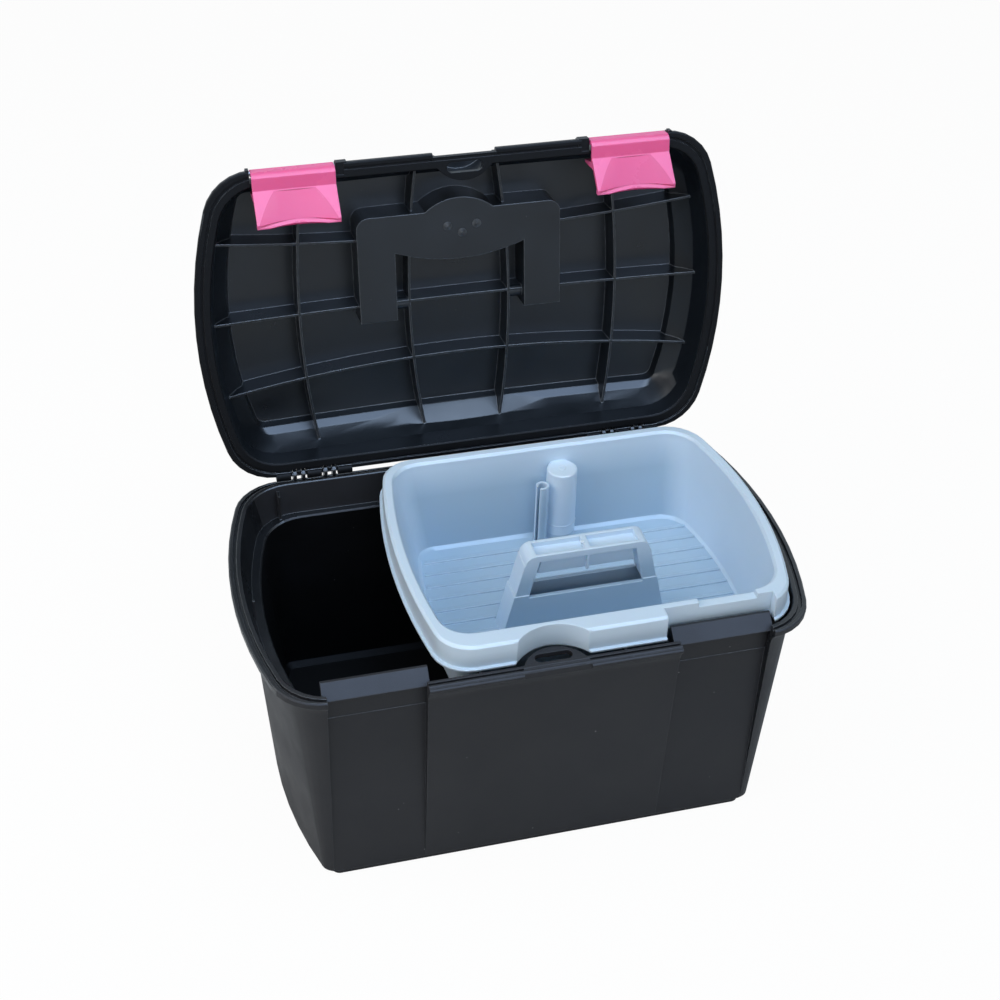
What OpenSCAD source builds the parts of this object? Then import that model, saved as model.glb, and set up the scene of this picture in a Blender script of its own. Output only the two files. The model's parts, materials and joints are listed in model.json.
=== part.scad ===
// Plastic grooming box: tub, hinged lid with a flush carry handle, two latches and a lift-out tray.
// Millimetres. X runs along the box, the front faces -Y, Z is up, the origin is under the middle of the tub.
// The lid is drawn open, as it stands when it leans back on its stop.

/* [Box] */
// Length over the rim, measured across the bulged ends
box_l = 400; // [360:5:440]
// Depth over the rim, front to back
box_w = 240; // [228:2:264]
// Height of the parting plane between tub and lid
base_h = 182; // [165:1:200]
// Length of the tub just above its foot
foot_l = 356; // [340:2:364]
// Depth of the tub just above its foot
foot_w = 217; // [213:1:221]
// Radius of the tub's corners just above its foot
foot_r = 9; // [8:1:20]
// Radius of the bulge at each end of the rim
end_r = 323; // [290:1:400]
// Radius of the rim's corners in plan
corner_r = 37; // [30:1:44]
// Wall thickness of tub and lid
wall = 3; // [2.4:0.2:3.6]

/* [Rim] */
// Height of the tub's rim flange
rim_t = 5.5; // [4:0.5:8]
// Overhang of the rim flange past the end walls
rim_over = 11; // [8:0.5:14]
// Overhang of the rim flange past the front and back walls
rim_over_y = 3; // [2:0.5:5]
// Depth of the groove in the rim's top face
groove_d = 2.5; // [1:0.5:4]
// Depth of the tray ledge below the parting plane
ledge_drop = 25; // [20:1:32]
// Width of the tray ledge
ledge_w = 7; // [5:0.5:9]
// Height of the inset foot under the tub
plinth_h = 4; // [2:0.5:7]
// Inset of that foot at the ends
plinth_in = 6; // [4:0.5:9]
// Inset of that foot in front and behind
plinth_in_y = 1.5; // [1.5:0.5:4]
// Thickness of the support ribs inside the rim
nib_t = 1.8; // [1.2:0.2:3]

/* [Front] */
// Distance from the middle to the near side of a latch bay
bay_x = 86.5; // [80:0.5:92]
// Width of a latch bay
bay_w = 66; // [58:0.5:70]
// Depth of the vertical bay face from the rim's edge
bay_d = 12; // [10:0.5:14]
// Height of the sloping catch strip in a bay
catch_h = 8; // [6:0.5:10]
// Rise of the catch strip over the parting plane
catch_rise = 2; // [0:0.5:3]
// Amount the middle lip stands out past the rim
lip_out = 2; // [1:0.5:4]
// Height of the middle lip
lip_h = 20; // [16:0.5:24]
// Width of the finger notch in the middle of the front
notch_w = 46; // [30:2:60]
// Width of a padlock slot
slot_l = 26; // [18:1:32]
// Height of a padlock slot
slot_w = 8; // [6:0.5:10]

/* [Lid] */
// Height of the closed lid over the parting plane
lid_h = 51; // [46:1:58]
// Gap between the rims when the lid is shut
rim_gap = 0.4; // [0.2:0.1:0.8]
// Thickness of the lid's rim flange
lid_flange = 5; // [4:0.5:7]
// Overhang of the lid's flange
lid_over = 8.5; // [6:0.5:11]
// Rise of the crowned top from its ends to its middle
crown = 7; // [3:0.5:10]
// Step around the crowned panel
panel_step = 7; // [4:0.5:9]
// Height of the stiffening ribs
rib_h = 19.5; // [10:0.5:22]
// Thickness of the stiffening ribs
rib_t = 1.8; // [1.2:0.2:2.6]
// Angle at which the open lid leans on its stop
open_angle = 98.6; // [80:0.2:110]

/* [Hinge] */
// Distance from the middle to the near end of a hinge
hinge_x = 93.5; // [80:0.5:100]
// Length of one hinge
hinge_l = 58; // [50:1:64]
// Radius of the hinge knuckles
knuckle_r = 4.2; // [3.6:0.1:5]
// Height of the hinge axis over the parting plane
hinge_rise = 3.6; // [3:0.1:5]
// Radius of the hinge and latch pins
pin_r = 1.55; // [1.2:0.05:1.8]
// Running clearance round a pin
pin_clear = 0.05; // [0.02:0.01:0.1]

/* [Latches] */
// Length of a latch from its pin to its lower corners, along the plate and the tail
latch_len = 34.5; // [31:0.5:40]
// Thickness of a latch
latch_t = 2.6; // [2:0.2:3.2]
// Distance of the latch plate in front of its pin
latch_off = 8.4; // [8:0.1:10]
// Flare of the tail of a latch
latch_flare = 38; // [30:1:45]
// Height of the latch pin over the parting plane
latch_rise = 7.5; // [7:0.1:8.5]
// Side clearance of a latch in its bay
latch_gap = 1; // [0.5:0.1:2]

/* [Handle] */
// Width over the legs of the handle pocket
pocket_w = 154; // [140:2:170]
// Width of one leg of the pocket
pocket_leg = 28; // [24:1:32]
// Distance from the lid's middle to the front of the pocket
pocket_front = 70; // [64:1:76]
// Distance from the lid's middle to the back end of the legs
pocket_back = 12; // [10:1:18]
// Depth of the pocket's floor above the parting plane
pocket_floor = 22; // [20:0.5:26]
// Radius of the handle's stub axles
axle_r = 3; // [2.5:0.1:3.5]
// Clearance between handle and pocket
handle_gap = 1.2; // [0.8:0.1:2]

/* [Tray] */
// Length of the tray over its flange
tray_l = 276; // [230:2:276]
// Height of the tray rim over the parting plane
tray_rise = 16; // [10:1:18]
// Inside depth of the tray below its rim
tray_d = 76; // [50:1:90]
// Height of the skirt round the tray rim
skirt_h = 19; // [12:1:22]
// Width of the tray rim at back and ends
tray_rim = 11; // [8:0.5:14]
// Wall thickness of the tray
tray_wall = 2.2; // [1.6:0.2:2.8]
// Radius of the notch that clears the padlock tabs
arc_r = 32; // [29:1:36]
// Number of ridges on the tray floor
ridge_n = 11; // [4:1:12]
// Length of the tray handle at its foot
grip_l = 122; // [90:2:130]
// Thickness of the tray handle
grip_t = 18; // [12:1:24]
// Height of the tray handle
grip_h = 71; // [50:1:74]
// Diameter of the post's foot
post_d = 25; // [18:1:28]
// Height of the post
post_h = 63; // [40:1:70]

/* [Hidden] */
// Colours of the mouldings
black_tub = [0.16, 0.16, 0.17];
black_lid = [0.11, 0.11, 0.12];
pink = [0.93, 0.36, 0.58];
grey_blue = [0.68, 0.76, 0.85];
steel = [0.55, 0.56, 0.58];
// Overlap of solids that are moulded in one piece, and overshoot of cuts
bond = 0.8;
over = 1;
// Points round one corner and along one end of an outline
corner_n = 7;
end_n = 9;
// Points along each straight side of the lid
side_n = 7;
// Half sizes of the rim
half_l = box_l / 2;
half_w = box_w / 2;
// Rim flange: underside, wall below it and the inner face of the rim
flange_z = base_h - rim_t;
cove_h = 10;
wall_l = half_l - rim_over;
wall_w = half_w - rim_over_y;
wall_b = half_w - 7;
bead_w = 3;
groove_w = 2.4;
rim_in_l = 9;
rim_in_w = 6.5;
ledge_z = base_h - ledge_drop;
ledge_in_l = wall_l - wall - 1;
ledge_in_f = wall_w - wall - 3;
ledge_in_b = wall_b - wall;
// Latch bays and their catch strips
bay_face = half_w - bay_d;
bay_back = bay_face - wall - 2;
catch_out = bay_face + 4;
catch_in = bay_face - 6;
// Lid sizes in the closed position
lid_z = base_h + rim_gap;
lid_top = base_h + lid_h;
lid_wall_l = half_l - lid_over;
lid_wall_w = half_w - lid_over;
panel_l = lid_wall_l - 16.5;
panel_w = lid_wall_w - 16.5;
panel_z = lid_top - crown;
panel_cut = 24;
crown_r = panel_l * panel_l / (2 * crown);
// Lens at the back of the lid: length, thickness, slope, and the place of its middle
lens_l = 174;
lens_t = 2;
lens_turn = 40;
lens_top = lid_top - panel_step - wall;
lens_y = panel_w + 2.6;
lens_z = lens_top - 5.2;
// Places of the ribs in front, behind and on both sides, and the radii of their bows
rib_front = panel_w * 0.522;
rib_back = panel_w * 0.486;
rib_outer = panel_l * 0.697;
rib_inner = panel_l * 0.219;
rib_bow = panel_l * 7.5;
rib_bow_y = panel_l * 3.85;
// Hinge axis and knuckle spacing
hinge_y = half_w + 0.4;
hinge_z = base_h + hinge_rise;
knuckle_l = hinge_l * 0.19;
ear_t = 2.6;
knuckle_gap = 0.4;
// Latch pin and plate
latch_y = -half_w + 3.5;
latch_z = base_h + latch_rise;
cheek_in = 5.5;
latch_w = bay_w - cheek_in - 2 * latch_gap;
latch_mid = bay_x + cheek_in + latch_gap + latch_w / 2;
latch_turn = 90;
cheek_t = 2.2;
crease_z = -9.9;
hook_z = -14;
latch_lip = 3.4;
latch_hollow = 2.9;
// Handle pocket: front bump, width of its cross bar and the bow behind it
bump_r = 39.5;
bump_h = 9.5;
bar_w = 29;
bow_h = 9;
leg_in = pocket_w / 2 - pocket_leg;
bow_r = (leg_in * leg_in + bow_h * bow_h) / (2 * bow_h);
grip_w = 15;
// Padlock tab and the bay behind it
tab_r = 23.5;
niche_h = lid_h - panel_step - 21;
// Handle pivot
axle_y = pocket_back - 9.5;
axle_z = base_h + pocket_floor + wall + 7.6;
handle_z = lid_top - 2;
// Tray: its flange hangs between the rims, the right end next to the end wall
tray_gap = 2;
tray_half = tray_l / 2;
tray_x = half_l - rim_in_l - tray_gap - tray_half;
tray_front = half_w - rim_in_w - 4;
tray_back = half_w - rim_in_w - 6.5;
tray_top = base_h + tray_rise;
tray_foot = tray_top - skirt_h;
tray_floor = tray_top - tray_d;
tray_rim_front = 18;
tray_end_r = 445;
seat_gap = 0.3;
// Draw-in of the right end at half depth, clear of the tub's ledge
tray_draw = 3;
// Tray handle: how far its foot stands out and its bar stands back
grip_proud = 0.8;
grip_back = 3.2;

// Points along an arc from angle a0 to a1
function arc_points(cx, cy, r, a0, a1, n) =
  [for (i = [0 : n - 1]) let (a = a0 + (a1 - a0) * i / (n - 1)) [cx + r * cos(a), cy + r * sin(a)]];

// One end of an outline: a corner, the bulged end and the other corner, on the +X side
function end_points(l, wf, wb, re, rc) =
  let (
    ce = l - re,
    yf = -wf + rc,
    yb = wb - rc,
    xf = ce + sqrt((re - rc) * (re - rc) - yf * yf),
    xb = ce + sqrt((re - rc) * (re - rc) - yb * yb),
    af = atan2(yf, xf - ce),
    ab = atan2(yb, xb - ce),
    bulge = arc_points(ce, 0, re, af, ab, end_n + 2)
  )
  concat(
    arc_points(xf, yf, rc, -90, af, corner_n),
    [for (i = [1 : end_n]) bulge[i]],
    arc_points(xb, yb, rc, ab, 90, corner_n)
  );

// The same end on the -X side, going on round from back to front
function far_points(l, wf, wb, re, rc) =
  let (p = end_points(l, wf, wb, re, rc), n = len(p))
  [for (i = [0 : n - 1]) [-p[n - 1 - i][0], p[n - 1 - i][1]]];

// Points between p and q, without the two themselves
function between(p, q, n) = n == 0 ? [] : [for (i = [1 : n]) p + (q - p) * i / (n + 1)];

// Outline with straight sides, bulged ends and round corners, anticlockwise; the ends may differ.
// The straight sides get n points each.
function outline(l, wf, wb, re, rc, re2, rc2, n = 0) =
  let (
    a = end_points(l, wf, wb, re, rc),
    b = far_points(l, wf, wb, re2, rc2),
    m = len(a) - 1
  )
  concat(a, between(a[m], b[0], n), b, between(b[m], a[0], n));

// Outline that keeps the rim's bulge and corners at another size; the corners may be tighter by cut
function rim_outline(l, wf, wb, n = 0, cut = 0) =
  let (in = half_l - l, re = end_r - in, rc = corner_r - in * 0.2 - cut)
  outline(l, wf, wb, re, rc, re, rc, n);

// Height share of the drafted walls: their half size at height z
function wall_at(z, foot, top) =
  foot + (top - foot) * (z - plinth_h - 2) / (flange_z - cove_h - plinth_h - 2);

// Ring of the tub with its own corner radius
function tub_ring(z, l, wf, wb, rc) =
  let (re = end_r - half_l + l)
  ring(z, outline(l, wf, wb, re, rc, re, rc));

// A flat ring of points at one height
function ring(z, p) = [for (q = p) [q[0], q[1], z]];

// A flat ring with the same half depth in front and behind
function even(z, l, w) = ring(z, rim_outline(l, w, w));

// A ring whose height follows the crown of the lid, by the share k
function crown_ring(z, p, k) = [for (q = p) [q[0], q[1], z - k * q[0] * q[0] / (2 * crown_r)]];

// The same with equal depth in front and behind, for the lid; flat when k is 0
function lid_ring(z, l, w, k = 0, cut = 0) = crown_ring(z, rim_outline(l, w, w, side_n, cut), k);

// Skin through rings with equal counts of points; each end is closed by a fan round its middle
module loft(rings) {
  n = len(rings[0]);
  m = len(rings);
  low = [for (q = rings[0]) 1] * rings[0] / n;
  high = [for (q = rings[m - 1]) 1] * rings[m - 1] / n;
  points = concat([for (r = rings) each r], [low, high]);
  sides = [
    for (i = [0 : m - 2], j = [0 : n - 1])
      let (a = i * n + j, b = i * n + (j + 1) % n)
      each [[a, a + n, b + n], [a, b + n, b]]
  ];
  first = [for (j = [0 : n - 1]) [j, (j + 1) % n, m * n]];
  last = [for (j = [0 : n - 1]) [(m - 1) * n + (j + 1) % n, (m - 1) * n + j, m * n + 1]];
  polyhedron(points, concat(sides, first, last), convexity = 8);
}

// Prism of an outline in Y and Z, drawn along X from x0 to x1
module along_x(x0, x1) {
  translate([x0, 0, 0])
    rotate([90, 0, 90])
      linear_extrude(x1 - x0)
        children();
}

// Round bar along X
module bar_x(x0, x1, y, z, r) {
  translate([x0, y, z])
    rotate([0, 90, 0])
      cylinder(h = x1 - x0, r = r, $fn = 40);
}

// Box between two corners
module block(a, b) {
  translate(a)
    cube(b - a);
}

// Both sides of the box
module both_sides() {
  children();
  mirror([1, 0, 0])
    children();
}

// Turns what is drawn on the closed lid to its open place
module opened() {
  translate([0, hinge_y, hinge_z])
    rotate([-open_angle, 0, 0])
      translate([0, -hinge_y, -hinge_z])
        children();
}

// Tub without its front details: foot, drafted walls, cove, rim flange with its groove, ledge and floor
module tub_shell() {
  hl = foot_l / 2;
  hw = foot_w / 2;
  g0 = bead_w;
  g1 = bead_w + groove_w;
  low_l = ledge_in_l - ledge_w;
  low_b = ledge_in_b - ledge_w + 1;
  low_f = bay_back + 1;
  mid_z = ledge_z - 40;
  floor_z = max(plinth_h, wall) + 0.5;
  top_r = corner_r - rim_over * 0.2;
  px = hl - plinth_in;
  py = hw - plinth_in_y;
  loft([
    tub_ring(0, px - 0.5, py - 0.5, py - 0.5, foot_r - 3),
    tub_ring(plinth_h, px, py, py, foot_r - 3),
    tub_ring(plinth_h, hl - 2, hw - 1, hw - 1, foot_r - 1),
    tub_ring(plinth_h + 2, hl, hw, hw, foot_r),
    tub_ring(flange_z - cove_h, wall_l, wall_w, wall_b, top_r),
    ring(flange_z - cove_h * 0.35,
      rim_outline(wall_l + rim_over * 0.25, wall_w + rim_over_y * 0.25, wall_b + (half_w - wall_b) * 0.25)),
    even(flange_z, half_l - 1, half_w - 0.4),
    even(flange_z + 1, half_l, half_w),
    even(base_h - 0.8, half_l, half_w),
    even(base_h, half_l - 0.8, half_w - 0.8),
    even(base_h, half_l - g0, half_w - g0 * 0.7),
    even(base_h - groove_d, half_l - g0 - 0.3, half_w - g0 * 0.7 - 0.2),
    even(base_h - groove_d, half_l - g1, half_w - g1 * 0.7),
    even(base_h, half_l - g1 - 0.3, half_w - g1 * 0.7 - 0.2),
    even(base_h, half_l - rim_in_l + 0.6, half_w - rim_in_w + 0.6),
    even(base_h - 0.6, half_l - rim_in_l, half_w - rim_in_w),
    ring(ledge_z, rim_outline(ledge_in_l, ledge_in_f, ledge_in_b)),
    ring(ledge_z, rim_outline(low_l + 1, low_f + 1, low_b + 1)),
    ring(ledge_z - 1, rim_outline(low_l, low_f, low_b)),
    tub_ring(mid_z, wall_at(mid_z, hl, wall_l) - wall, low_f - 0.3, wall_at(mid_z, hw, wall_b) - wall - 0.6,
      wall_at(mid_z, foot_r, top_r) - wall),
    tub_ring(floor_z + 4, hl - wall - 1, hw - wall - 3, hw - wall - 1, foot_r - wall),
    tub_ring(floor_z, hl - wall - 5, hw - wall - 6, hw - wall - 5, foot_r - wall)
  ]);
}

// Side outline of the lip along the front: square edge above, hollow curve down to the wall
module lip_outline() {
  edge = half_w + lip_out;
  low_z = base_h - lip_h;
  top_z = base_h - 3.4;
  dy = edge - wall_w + 0.8;
  dz = top_z - low_z;
  r = (dy * dy + dz * dz) / (2 * dy);
  polygon(concat(
    [
      [-wall_w + 2.5, low_z],
      [-wall_w + 2.5, low_z + 4],
      [-half_w + 1.2, flange_z],
      [-half_w + 1.2, base_h - 1.2],
      [-edge + 0.8, base_h - 1.2],
      [-edge, base_h - 2]
    ],
    arc_points(-wall_w + 0.8 - r, low_z, r, asin(dz / r), 0, 7)
  ));
}

// Hollow behind the middle of the front, so the wall keeps its thickness there
module front_hollow() {
  hw = foot_w / 2;
  z0 = max(plinth_h, wall) + 8;
  z1 = ledge_z - 6;
  along_x(-bay_x + wall, bay_x - wall)
    polygon([
      [-bay_back + 2, z0],
      [-wall_at(z0, hw, wall_w) + wall, z0],
      [-wall_at(z1, hw, wall_w) + wall, z1],
      [-bay_back + 2, z1]
    ]);
}

// Sloping strip that a latch hooks under
module catch_strip() {
  along_x(bay_x - 2.5, bay_x + bay_w + 2.5)
    polygon([
      [-catch_out, base_h - catch_h + 1.6],
      [-catch_out + 0.8, base_h - catch_h + 2.4],
      [-catch_in - 0.6, base_h + catch_rise],
      [-catch_in + 1.4, base_h + catch_rise],
      [-bay_back, base_h - 4],
      [-bay_back, ledge_z - 10],
      [-bay_face + 0.2, ledge_z - 14],
      [-bay_face + 0.2, base_h - catch_h]
    ]);
}

// Thin upright rib that carries the tray's flange on the back wall
module back_nib(x) {
  block([x - nib_t / 2, tray_back - 3, ledge_z - bond],
        [x + nib_t / 2, ledge_in_b + 1.5, tray_foot - seat_gap]);
}

// The same on an end wall
module end_nib(y) {
  block([half_l - rim_in_l - tray_gap - 4, y - nib_t / 2, ledge_z - bond],
    [ledge_in_l + 1.5, y + nib_t / 2, tray_foot - seat_gap]);
}

// The same behind the front lip
module front_nib(x) {
  block([x - nib_t / 2, -ledge_in_f - 1.5, ledge_z - bond],
        [x + nib_t / 2, -tray_front + 3, tray_foot - seat_gap]);
}

// Half-round tab behind the front edge, drawn from z0 to z1
module padlock_tab(z0, z1, r) {
  translate([0, -half_w - 3.5, z0])
    intersection() {
      cylinder(h = z1 - z0, r = r, $fn = 72);
      block([-r, 6, -over], [r, r + over, z1 - z0 + over]);
    }
}

// Round bay in the lid that gives a padlock room behind its tab
module lock_niche(z0, z1, r) {
  translate([0, -half_w - 3.5, z0])
    cylinder(h = z1 - z0, r = r, $fn = 72);
}

// Pill-shaped padlock slot
module padlock_slot(z0, z1) {
  translate([0, -half_w + 11, z0])
    union() {
      for (s = [-1, 1])
        translate([s * (slot_l - slot_w) / 2, 0, 0])
          cylinder(h = z1 - z0, d = slot_w, $fn = 32);
      block([-(slot_l - slot_w) / 2, -slot_w / 2, 0], [(slot_l - slot_w) / 2, slot_w / 2, z1 - z0]);
    }
}

// Starts of the three lid knuckles along a hinge
function lid_knuckle_x(i) = hinge_x + i * (hinge_l - knuckle_l) / 2;

// Middles of the base ears, two in each space between the lid's knuckles
function ear_x(i) =
  let (space = (hinge_l - 3 * knuckle_l) / 2, start = lid_knuckle_x(floor(i / 2)) + knuckle_l)
  start + space * (i % 2 == 0 ? 0.24 : 0.76);

// Ears of one hinge on the tub
module base_ears() {
  for (i = [0 : 3]) {
    bar_x(ear_x(i) - ear_t / 2, ear_x(i) + ear_t / 2, hinge_y, hinge_z, knuckle_r);
    block([ear_x(i) - ear_t / 2, half_w - 2.5, base_h - 7],
          [ear_x(i) + ear_t / 2, hinge_y + knuckle_r, hinge_z]);
  }
}

// Tub: shell, lip, catch strips, supports, padlock tab and hinge ears
module base_tub() {
  color(black_tub)
    difference() {
      union() {
        difference() {
          union() {
            tub_shell();
            along_x(-bay_x, bay_x)
              lip_outline();
          }
          front_hollow();
          both_sides()
            block([bay_x, -half_w - 20, -over], [bay_x + bay_w, -bay_face, base_h + over]);
          along_x(-notch_w / 2, notch_w / 2)
            polygon([
              [-half_w - 9, base_h + over],
              [-half_w - 0.3, base_h + over],
              [-half_w - 0.3, base_h - 12],
              [-half_w - 9, base_h - 12]
            ]);
        }
        both_sides()
          catch_strip();
        both_sides()
          base_ears();
        both_sides()
          end_nib(-8);
        both_sides()
          back_nib(152);
        both_sides()
          back_nib(50);
        both_sides()
          front_nib(50);
        padlock_tab(base_h - 4, base_h - 0.3, tab_r);
      }
      padlock_slot(ledge_z - 9, base_h + over);
      both_sides()
        bar_x(hinge_x - over, hinge_x + hinge_l + over, hinge_y, hinge_z, pin_r + pin_clear);
      both_sides()
        for (i = [0 : 2])
          bar_x(lid_knuckle_x(i) - knuckle_gap, lid_knuckle_x(i) + knuckle_l + knuckle_gap, hinge_y, hinge_z,
            knuckle_r + knuckle_gap);
    }
}

// Lid without its details: flange, cove, drafted walls, shoulder, stepped and crowned top
module lid_skin() {
  rim_l = half_l - 11.5;
  rim_w = half_w - 11.2;
  in_top = lid_top - wall;
  out = rim_outline(panel_l, panel_w, panel_w, side_n, panel_cut);
  in = rim_outline(panel_l - wall + 0.4, panel_w - wall + 0.4, panel_w - wall + 0.4, side_n, panel_cut);
  loft(concat(
    [for (s = [0.25, 0.5, 0.75, 1]) crown_ring(in_top, in * s, 1)],
    [
      lid_ring(in_top - panel_step, panel_l - 1, panel_w - 1, 1, panel_cut),
      lid_ring(in_top - panel_step - 4, panel_l + 4, panel_w + 4, 1, panel_cut / 2),
      lid_ring(in_top - panel_step - 12, panel_l + 9.5, panel_w + 9, 0.8),
      lid_ring(in_top - panel_step - 22, rim_l - 1.5, rim_w - 1, 0.45, wall),
      lid_ring(lid_z + 8, rim_l - 0.5, rim_w - 0.5, 0, wall),
      lid_ring(lid_z + 0.8, rim_l, rim_w, 0, wall),
      lid_ring(lid_z, rim_l + 0.8, rim_w + 0.8, 0, wall),
      lid_ring(lid_z, half_l - 6.3, half_w - 5.3),
      lid_ring(lid_z + 1.5, half_l - 6, half_w - 5),
      lid_ring(lid_z + 1.5, half_l - 4.4, half_w - 3.6),
      lid_ring(lid_z, half_l - 4.1, half_w - 3.3),
      lid_ring(lid_z, half_l - 0.8, half_w - 0.8),
      lid_ring(lid_z + 0.8, half_l, half_w),
      lid_ring(lid_z + lid_flange - 1, half_l, half_w),
      lid_ring(lid_z + lid_flange, half_l - 1, half_w - 1),
      lid_ring(lid_z + lid_flange + 2, lid_wall_l + 2, lid_wall_w + 2),
      lid_ring(lid_z + lid_flange + 5, lid_wall_l, lid_wall_w),
      lid_ring(lid_top - panel_step - 22, lid_wall_l - 1.5, lid_wall_w - 1.5, 0.45),
      lid_ring(lid_top - panel_step - 12, lid_wall_l - 4.5, lid_wall_w - 5, 0.8),
      lid_ring(lid_top - panel_step - 4, lid_wall_l - 10, lid_wall_w - 10, 1, panel_cut / 2),
      lid_ring(lid_top - panel_step, panel_l + 2, panel_w + 2, 1, panel_cut)
    ],
    [for (s = [1, 0.75, 0.5, 0.25]) crown_ring(lid_top, out * s, 1)]
  ));
}

// Strip of a wide circle that crosses (0, y) and bends away from the middle, in plan
module bowed_strip(y, r, len) {
  intersection() {
    translate([0, y + r, 0])
      difference() {
        circle(r = r + rib_t / 2, $fn = 240);
        circle(r = r - rib_t / 2, $fn = 240);
      }
    translate([-len / 2, y - 2])
      square([len, 30]);
  }
}

// Space inside the lid up to the middle of its walls, open above; the ribs end there
module lid_core() {
  m = wall / 2;
  loft([
    lid_ring(lid_z + 10, lid_wall_l - m, lid_wall_w - m),
    lid_ring(lid_top - panel_step - 22 - m, lid_wall_l - 1.5 - m, lid_wall_w - 1.5 - m, 0.45),
    lid_ring(lid_top - panel_step - 12 - m, lid_wall_l - 4.5 - m, lid_wall_w - 5 - m, 0.8),
    lid_ring(lid_top - panel_step - 4 - m, lid_wall_l - 10 - m, lid_wall_w - 10 - m, 1, panel_cut / 2),
    lid_ring(lid_top - panel_step - m, panel_l + 0.5, panel_w + 0.5, 1, panel_cut),
    lid_ring(lid_top + 5, panel_l, panel_w, 0, panel_cut)
  ]);
}

// Plan of the ribs: two bowed and one straight along X, four bowed along Y
module rib_plan() {
  long = 2 * lid_wall_l;
  cross = 2 * lid_wall_w;
  square([long, rib_t], center = true);
  rotate(180)
    bowed_strip(rib_front, rib_bow, long);
  bowed_strip(rib_back, rib_bow, long);
  for (s = [-90, 90], x = [rib_outer, rib_inner])
    rotate(s)
      translate([0, x])
        rotate(180)
          bowed_strip(0, rib_bow_y, cross);
}

// Ribs inside the lid, all of one height under the crowned panel
module lid_ribs() {
  axis_z = lid_top - crown_r;
  intersection() {
    difference() {
      intersection() {
        translate([0, 0, base_h + lid_flange + 8])
          linear_extrude(lid_h)
            rib_plan();
        translate([0, half_w, axis_z])
          rotate([90, 0, 0])
            cylinder(h = box_w, r = crown_r - wall / 2, $fn = 300);
      }
      translate([0, half_w + over, axis_z])
        rotate([90, 0, 0])
          cylinder(h = box_w + 2 * over, r = crown_r - wall - rib_h, $fn = 300);
    }
    lid_core();
  }
}

// Shallow lens on the hollow between the lid's panel and its back wall
module back_lens() {
  r = lens_l * lens_l / (8 * lens_t);
  intersection() {
    translate([0, lens_y, lens_z])
      rotate([lens_turn, 0, 0])
        translate([0, r, 0])
          cylinder(h = 34, r = r, center = true, $fn = 300);
    block([-lens_l, panel_w / 2, lid_z + 8], [lens_l, half_w, lens_top - 0.3]);
    lid_core();
  }
}

// Rectangle with its two front corners rounded, from y0 to y1
module soft_front(hw, y0, y1, r) {
  polygon(concat(
    arc_points(-hw + r, y0 + r, r, 180, 270, 7),
    arc_points(hw - r, y0 + r, r, 270, 360, 7),
    [[hw, y1], [-hw, y1]]
  ));
}

// Outline of the handle pocket, drawn in by the amount d
module pocket_outline(d) {
  hw = pocket_w / 2 - d;
  leg = pocket_w / 2 - pocket_leg + d;
  bar = pocket_front - bar_w;
  union() {
    difference() {
      union() {
        soft_front(hw, -pocket_front + d, pocket_back - d, 9);
        translate([0, -pocket_front + bump_r - bump_h])
          circle(r = bump_r - d, $fn = 96);
      }
      translate([-leg, -bar - d])
        square([2 * leg, bar + pocket_back + d + over]);
    }
    intersection() {
      translate([0, -bar + bow_h - bow_r])
        circle(r = bow_r - d, $fn = 180);
      translate([-leg - bond, -bar - d - over])
        square([2 * (leg + bond), bow_h + 2 * over + d]);
    }
  }
}

// Cheeks on both sides of one latch bay in the lid
module latch_cheeks() {
  for (c = [[bay_x - cheek_t, bay_x + cheek_in], [bay_x + bay_w, bay_x + bay_w + cheek_t]]) {
    block([c[0], -half_w - 0.6, lid_z + 0.5], [c[1], -lid_wall_w + 2, latch_z - 0.5]);
    bar_x(c[0], c[1], latch_y, latch_z, 3);
    block([c[0], latch_y, latch_z - 1], [c[1], -lid_wall_w + 2, latch_z + 3]);
  }
}

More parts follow.
